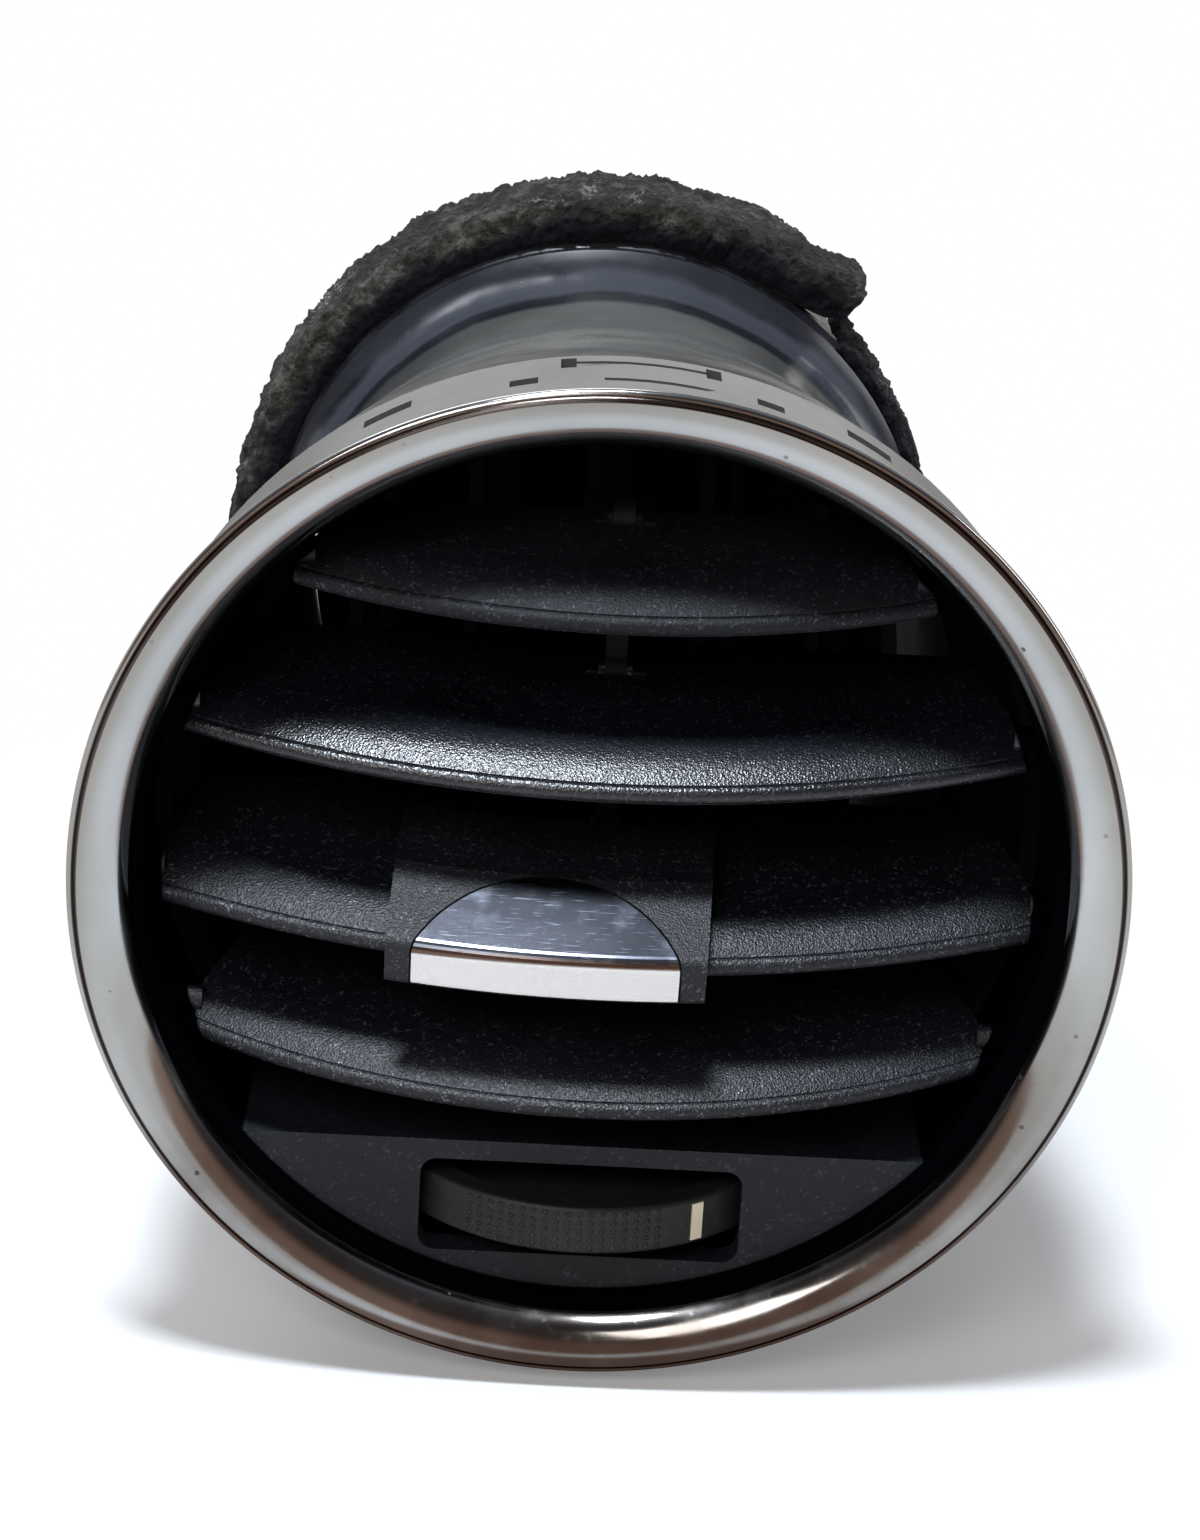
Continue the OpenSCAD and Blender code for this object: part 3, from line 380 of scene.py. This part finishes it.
def lathe(name, outline, steps, finish, sharp=math.radians(35)):
    verts, faces = [], []
    for i in range(steps):
        a = 2 * math.pi * i / steps
        verts += [(r * math.sin(a) * mm, y * mm, r * math.cos(a) * mm) for r, y in outline]
    n = len(outline)
    for i in range(steps):
        j = (i + 1) % steps
        for k in range(n):
            m = (k + 1) % n
            faces.append((i * n + k, j * n + k, j * n + m, i * n + m))
    piece = meshPiece(name, verts, faces, finish)
    bm = bmesh.new()
    bm.from_mesh(piece.data)
    bmesh.ops.recalc_face_normals(bm, faces=bm.faces)
    for edge in bm.edges:
        edge.smooth = not (len(edge.link_faces) == 2 and edge.calc_face_angle() > sharp)
    bm.to_mesh(piece.data)
    bm.free()
    return piece


# Bezel: the solid's section with a flatter face, in a fine mesh for clean reflections

bezel = {"outer": 48, "inner": 42.65, "innerY": 0.95, "top": 47, "topY": -1.6, "lip": 1.1, "depth": 2.6,
         "backFrom": 43.12, "recessFrom": 44.5, "recessTo": 45.4, "recess": 0.05, "groove": 0.25,
         "grooveOut": 0.15, "grooveAngles": (170, 130, 90, 50, 10),
         "leg": ((0.05, 0.9), (-0.04, 0.3), (-0.05, 0.12)), "steps": 360, "faceSteps": 28, "lipSteps": 8}


def bezelOutline(b):
    wide, deep = b["top"] - b["inner"], b["innerY"] - b["topY"]
    last = 2 * math.atan2(deep, wide)
    radius = wide / math.sin(last)
    back = b["depth"] - 0.01
    pts = [(b["recessFrom"], back), (b["backFrom"], back)]
    pts += [(b["inner"] + out, b["innerY"] + behind) for out, behind in b["leg"]]
    for i in range(b["faceSteps"] + 1):
        a = last * (1 - i / b["faceSteps"])
        pts.append((b["top"] - radius * math.sin(a), b["topY"] + radius * (1 - math.cos(a))))
    grooveX, lip = b["top"] + b["grooveOut"], b["lip"]
    for a in b["grooveAngles"]:
        pts.append((grooveX + b["groove"] * math.cos(math.radians(a)),
                    -lip + b["groove"] * math.sin(math.radians(a))))
    for i in range(b["lipSteps"] + 1):
        a = math.radians(-90 + 180 * i / b["lipSteps"])
        pts.append((b["outer"] - lip / 2 + lip / 2 * math.cos(a), -lip / 2 + lip / 2 * math.sin(a)))
    pts += [(b["recessTo"], 0), (b["recessTo"], -b["recess"]), (b["recessFrom"], -b["recess"])]
    return pts


bezelRing = lathe("bezelShell", bezelOutline(bezel), bezel["steps"], "bezel")
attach(bezelRing, "case")
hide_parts("bezel_ring")
print("bezel done")


# Foam strip: a ragged band round the collar, with its loose end at the upper right

# Angles run clockwise from the top. Each of the bumps is a height, a scale, a shift and the noise's settings.
foam = {"inner": 36.4, "thick": 6.3, "front": 99.4, "width": 17.4, "looseAt": 41, "lift": 2.0, "liftArc": 13,
        "thinFrom": 44, "thinTo": 150, "thin": 2.2,
        "around": 900, "ringPoints": 48, "endGap": 3, "squareness": 0.45, "thinStay": 0.45, "thinPower": 1.5,
        "taperArc": 3, "taperEnd": 0.8, "taperTo": 0.75, "calmInside": 0.2, "inset": 0.35, "outMost": 0.25,
        "bumps": ((0.8, 0.16, (0, 0, 0), 0.7, 2.1, 4), (0.45, 0.8, (9, 4, 2), 0.8, 2.2, 4),
                  (0.3, 2.3, (3, 8, 5), 0.9, 2.1, 2))}


def foamStrip(f):
    around, ringPts, power = f["around"], f["ringPoints"], f["squareness"]
    start, end = f["looseAt"] - 360 + f["endGap"], f["looseAt"]
    verts, faces = [], []
    for i in range(around + 1):
        t = i / around
        angle = start + (end - start) * t
        a = math.radians(angle)
        turned = angle % 360
        thick = f["thick"]
        if f["thinFrom"] <= turned <= f["thinTo"]:
            u = (turned - f["thinFrom"]) / (f["thinTo"] - f["thinFrom"])
            grown = max(0, (u - f["thinStay"]) / (1 - f["thinStay"])) ** f["thinPower"]
            thick = f["thin"] + (f["thick"] - f["thin"]) * grown
        lift = f["lift"] * max(0, 1 - (end - angle) / f["liftArc"]) ** 2
        taper = min(1, (end - angle + f["taperEnd"]) / f["taperArc"])
        reach = f["taperTo"] + (1 - f["taperTo"]) * taper
        for k in range(ringPts):
            q = 2 * math.pi * k / ringPts
            c, s = math.cos(q), math.sin(q)
            u = math.copysign(abs(c) ** power, c)
            v = math.copysign(abs(s) ** power, s)
            r = f["inner"] + lift + thick / 2 + u * thick / 2 * reach
            y = f["front"] + f["width"] / 2 + v * f["width"] / 2
            p = Vector((r * math.sin(a), y, r * math.cos(a)))
            wobble = sum(height * noise.fractal(p * scale + Vector(shift), *rest)
                         for height, scale, shift, *rest in f["bumps"])
            wobble *= f["calmInside"] if u < -0.5 else 1
            outward = Vector((math.sin(a) * u, v * 0.9, math.cos(a) * u))
            p += outward * min(f["outMost"], wobble - f["inset"])
            verts.append(tuple(p * mm))
    for i in range(around):
        for k in range(ringPts):
            m = (k + 1) % ringPts
            faces.append((i * ringPts + k, i * ringPts + m, (i + 1) * ringPts + m, (i + 1) * ringPts + k))
    faces.append(tuple(range(ringPts)))
    faces.append(tuple(reversed([around * ringPts + k for k in range(ringPts)])))
    piece = meshPiece("foamStripBody", verts, faces, "foam")
    bm = bmesh.new()
    bm.from_mesh(piece.data)
    bmesh.ops.recalc_face_normals(bm, faces=bm.faces)
    bm.to_mesh(piece.data)
    bm.free()
    return piece


foamPiece = foamStrip(foam)
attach(foamPiece, "case")
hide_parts("foam_seal")
print("foam done")


# Dots on the thumbwheel's rim, placed by a node tree and kept as a mesh

wheel = {"axisY": 19.8, "axisZ": -33.4, "radius": 20, "columns": 18, "rows": 5, "pitch": 3.1,
         "rowPitch": 0.86, "lastAngle": 21.5, "dot": 0.27, "flat": 0.16, "segments": 12, "rings": 6}


def wheelDots(w):
    tree = bpy.data.node_groups.new("rimDots", "GeometryNodeTree")
    face = tree.interface
    for label, kind in (("Geometry", "Geometry"), ("Columns", "Int"), ("Rows", "Int"), ("Pitch", "Float"),
                        ("Row pitch", "Float"), ("Dot", "Float")):
        face.new_socket(label, in_out="INPUT", socket_type="NodeSocket" + kind)
    face.new_socket("Geometry", in_out="OUTPUT", socket_type="NodeSocketGeometry")
    add, link = tree.nodes.new, tree.links.new
    groupIn, groupOut = add("NodeGroupInput"), add("NodeGroupOutput")

    def maths(operation, a, b):
        node = add("ShaderNodeMath")
        node.operation = operation
        for socket, value in zip(node.inputs, (a, b)):
            if isinstance(value, (int, float)):
                socket.default_value = value
            else:
                link(value, socket)
        return node.outputs[0]

    count = maths("MULTIPLY", groupIn.outputs["Columns"], groupIn.outputs["Rows"])
    points = add("GeometryNodePoints")
    link(count, points.inputs["Count"])
    index = add("GeometryNodeInputIndex").outputs[0]
    row = maths("FLOOR", maths("DIVIDE", index, groupIn.outputs["Columns"]), 0)
    column = maths("SUBTRACT", index, maths("MULTIPLY", row, groupIn.outputs["Columns"]))
    turned = maths("MULTIPLY", column, groupIn.outputs["Pitch"])
    angle = maths("SUBTRACT", math.radians(w["lastAngle"]), turned)
    x = maths("MULTIPLY", maths("SINE", angle, 0), w["radius"] * mm)
    y = maths("SUBTRACT", w["axisY"] * mm, maths("MULTIPLY", maths("COSINE", angle, 0), w["radius"] * mm))
    middle = (w["rows"] - 1) / 2
    above = maths("MULTIPLY", maths("SUBTRACT", row, middle), groupIn.outputs["Row pitch"])
    z = maths("ADD", above, w["axisZ"] * mm)
    combine = add("ShaderNodeCombineXYZ")
    for socket, value in zip(combine.inputs, (x, y, z)):
        link(value, socket)
    place = add("GeometryNodeSetPosition")
    link(points.outputs[0], place.inputs["Geometry"])
    link(combine.outputs[0], place.inputs["Position"])
    ball = add("GeometryNodeMeshUVSphere")
    ball.inputs["Segments"].default_value = w["segments"]
    ball.inputs["Rings"].default_value = w["rings"]
    link(groupIn.outputs["Dot"], ball.inputs["Radius"])
    turn = add("ShaderNodeCombineXYZ")
    link(angle, turn.inputs[2])
    spread = add("GeometryNodeInstanceOnPoints")
    link(place.outputs[0], spread.inputs["Points"])
    link(ball.outputs[0], spread.inputs["Instance"])
    link(turn.outputs[0], spread.inputs["Rotation"])
    spread.inputs["Scale"].default_value = (1, w["flat"] / w["dot"], 1)
    real = add("GeometryNodeRealizeInstances")
    link(spread.outputs[0], real.inputs[0])
    smooth = add("GeometryNodeSetShadeSmooth")
    link(real.outputs[0], smooth.inputs[0])
    paint = add("GeometryNodeSetMaterial")
    paint.inputs["Material"].default_value = finishes["wheel"].material
    link(smooth.outputs[0], paint.inputs["Geometry"])
    link(paint.outputs[0], groupOut.inputs[0])

    carrier = meshPiece("dotCarrier", [(0, 0, 0)], [], "wheel", smooth=False)
    modifier = carrier.modifiers.new("dots", "NODES")
    modifier.node_group = tree
    values = {"Columns": w["columns"], "Rows": w["rows"], "Pitch": math.radians(w["pitch"]),
              "Row pitch": w["rowPitch"] * mm, "Dot": w["dot"] * mm}
    for item in tree.interface.items_tree:
        if item.in_out == "INPUT" and item.name in values:
            modifier[item.identifier] = values[item.name]
    depsgraph = bpy.context.evaluated_depsgraph_get()
    mesh = bpy.data.meshes.new_from_object(carrier.evaluated_get(depsgraph))
    bpy.data.objects.remove(carrier)
    piece = bpy.data.objects.new("wheelDots", mesh)
    bpy.context.collection.objects.link(piece)
    return piece


dots = wheelDots(wheel)
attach(dots, "wheel")
print("dots done:", len(dots.data.polygons), "faces")


# Stage: floor, surroundings, lamps and camera

stage = {"floorZ": -49.5, "size": 3.0, "floorTone": 0.92, "mirroredTone": 0.66, "mirroredRear": 0.42,
         "centre": (0.015, 0.02), "whiteFrom": 0.075, "whiteTo": 0.17, "lift": 0.16, "ovalWide": 0.055,
         "ovalDeep": 0.018, "ovalY": -0.007, "ovalFrom": 0.8, "ovalTo": 1.5, "ovalTone": (0.22, 0.15, 0.125),
         "worldStrength": 0.9}

# What the chrome sees, by the angle from straight ahead over the top to straight behind
surroundings = ((0.00, (0.30, 0.20, 0.16)), (0.10, (0.30, 0.20, 0.165)), (0.20, (0.06, 0.045, 0.04)),
                (0.36, (0.05, 0.05, 0.06)), (0.48, (0.17, 0.18, 0.21)), (0.60, (0.27, 0.28, 0.32)),
                (0.74, (0.30, 0.31, 0.35)), (0.80, (0.07, 0.075, 0.085)), (0.87, (0.09, 0.095, 0.10)),
                (0.905, (1.00, 1.00, 0.96)), (0.96, (1.05, 1.05, 1.00)), (1.00, (0.50, 0.50, 0.48)))


class Plain(Shader):
    def __init__(self, tree):
        self.tree, self.nodes, self.links = tree, tree.nodes, tree.links


def makeStage():
    s = Shader("paleFloor", rough=0.85, specular=0.1)
    path = s.nodes.new("ShaderNodeLightPath")
    camera, glossy = Wire(s, path.outputs["Is Camera Ray"]), Wire(s, path.outputs["Is Glossy Ray"])
    tone, dim = stage["floorTone"], stage["mirroredTone"]
    # the mirrored floor is brown in an oval close under the bezel
    x, y = s.axis("X") / stage["ovalWide"], (s.axis("Y") - stage["ovalY"]) / stage["ovalDeep"]
    outside = s.step((x * x + y * y) ** 0.5, stage["ovalFrom"], stage["ovalTo"])
    near = s.mix(outside, stage["ovalTone"], (dim, dim, dim))
    s.set(colour=s.mix(glossy, (tone, tone, tone), near))
    x, y = s.axis("X") - stage["centre"][0], s.axis("Y") - stage["centre"][1]
    away = s.step((x * x + y * y) ** 0.5, stage["whiteFrom"], stage["whiteTo"])
    rear = stage["mirroredRear"]
    mirrored = s.mix(s.step(s.axis("Y"), 0.05, 0.4), (dim, dim, dim), (rear, rear, rear))
    white = s.add("ShaderNodeEmission", inputs={"Color": s.mix(glossy, (1, 1, 1), mirrored)})
    share = s.add("ShaderNodeMath", {"operation": "MAXIMUM"},
                  {0: away * (camera + glossy), 1: camera * stage["lift"]})
    both = s.add("ShaderNodeMixShader", inputs={0: share, 1: Wire(s, s.surface.outputs[0]), 2: white})
    s.feed(s.nodes["Material Output"].inputs["Surface"], both)
    size, z = stage["size"], stage["floorZ"] * mm
    verts = [(-size, -size, z), (size, -size, z), (size, size, z), (-size, size, z)]
    mesh = bpy.data.meshes.new("floor")
    mesh.from_pydata(verts, [], [(0, 1, 2, 3)])
    floor = bpy.data.objects.new("floor", mesh)
    bpy.context.collection.objects.link(floor)
    mesh.materials.append(s.material)

    world = bpy.data.worlds.new("studio")
    bpy.context.scene.world = world
    world.use_nodes = True
    w = Plain(world.node_tree)
    w.nodes.clear()
    direction = w.add("ShaderNodeTexCoord", out="Generated")
    split = w.add("ShaderNodeSeparateXYZ", inputs={"Vector": direction}, out="Z")
    ahead = Wire(w, split.socket.node.outputs["Y"])
    turn = w.add("ShaderNodeMath", {"operation": "ARCTAN2"}, {0: split, 1: -ahead}) * (1 / math.pi)
    lit = w.add("ShaderNodeBackground",
                inputs={"Color": w.ramp(turn, *surroundings), "Strength": stage["worldStrength"]})
    seen = w.add("ShaderNodeBackground", inputs={"Color": (1, 1, 1), "Strength": 1.0})
    camera = w.add("ShaderNodeLightPath", out="Is Camera Ray")
    both = w.add("ShaderNodeMixShader", inputs={0: camera, 1: lit, 2: seen})
    w.add("ShaderNodeOutputWorld", inputs={"Surface": both})


lamps = (
    {"name": "topKey", "place": (-0.10, -0.18, 0.80), "target": (0, 0, 0), "size": (0.16, 0.12),
     "power": 7.6, "colour": (0.84, 0.91, 1)},
    {"name": "frontSoft", "place": (-0.25, -0.62, 0.50), "target": (0, 0, 0), "size": (0.40, 0.30),
     "power": 1.9, "colour": (1, 1, 1)},
    {"name": "rearWindow", "place": (-0.25, 0.62, 0.66), "target": (0, 0.05, 0.02), "size": (0.70, 0.30),
     "power": 2.6, "colour": (0.93, 0.96, 1)},
    {"name": "rightStrip", "place": (0.75, 0.05, 0.34), "target": (0, 0, 0), "size": (0.20, 0.40),
     "power": 0.8, "colour": (0.92, 0.95, 1)})


def areaLamp(v):
    data = bpy.data.lights.new(v["name"], "AREA")
    data.shape, data.size, data.size_y = "RECTANGLE", *v["size"]
    data.energy, data.color = v["power"], v["colour"]
    lamp = bpy.data.objects.new(v["name"], data)
    bpy.context.collection.objects.link(lamp)
    lamp.location = v["place"]
    lamp.rotation_euler = (Vector(v["target"]) - lamp.location).to_track_quat("-Z", "Y").to_euler()


makeStage()
for lampValues in lamps:
    areaLamp(lampValues)

# The photograph's camera: angles in degrees, distances in mm, focal length and height in pixels
view = {"elevation": 21.03, "azimuth": -1.36, "roll": 3.4, "distance": 330, "focal": 3708, "targetX": -0.64,
        "targetZ": 12.78, "photoHeight": 1540, "sensor": 36}


def makeCamera(v):
    e, a, r = (math.radians(v[k]) for k in ("elevation", "azimuth", "roll"))
    back = Vector((math.sin(a) * math.cos(e), -math.cos(a) * math.cos(e), math.sin(e)))
    right = (-back).cross(Vector((0, 0, 1))).normalized()
    up = right.cross(-back)
    rolledRight = right * math.cos(r) + up * math.sin(r)
    rolledUp = up * math.cos(r) - right * math.sin(r)
    data = bpy.data.cameras.new("photoView")
    data.sensor_width = v["sensor"]
    data.lens = v["focal"] / v["photoHeight"] * v["sensor"]
    data.clip_start, data.clip_end = 0.01, 20
    camera = bpy.data.objects.new("photoView", data)
    bpy.context.collection.objects.link(camera)
    turn = Matrix((rolledRight, rolledUp, back)).transposed().to_4x4()
    target = Vector((v["targetX"], 0, v["targetZ"]))
    camera.matrix_world = Matrix.Translation((target + back * v["distance"]) * mm) @ turn
    bpy.context.scene.camera = camera


makeCamera(view)
bpy.context.scene.view_settings.view_transform = "Standard"
print("stage and camera done")
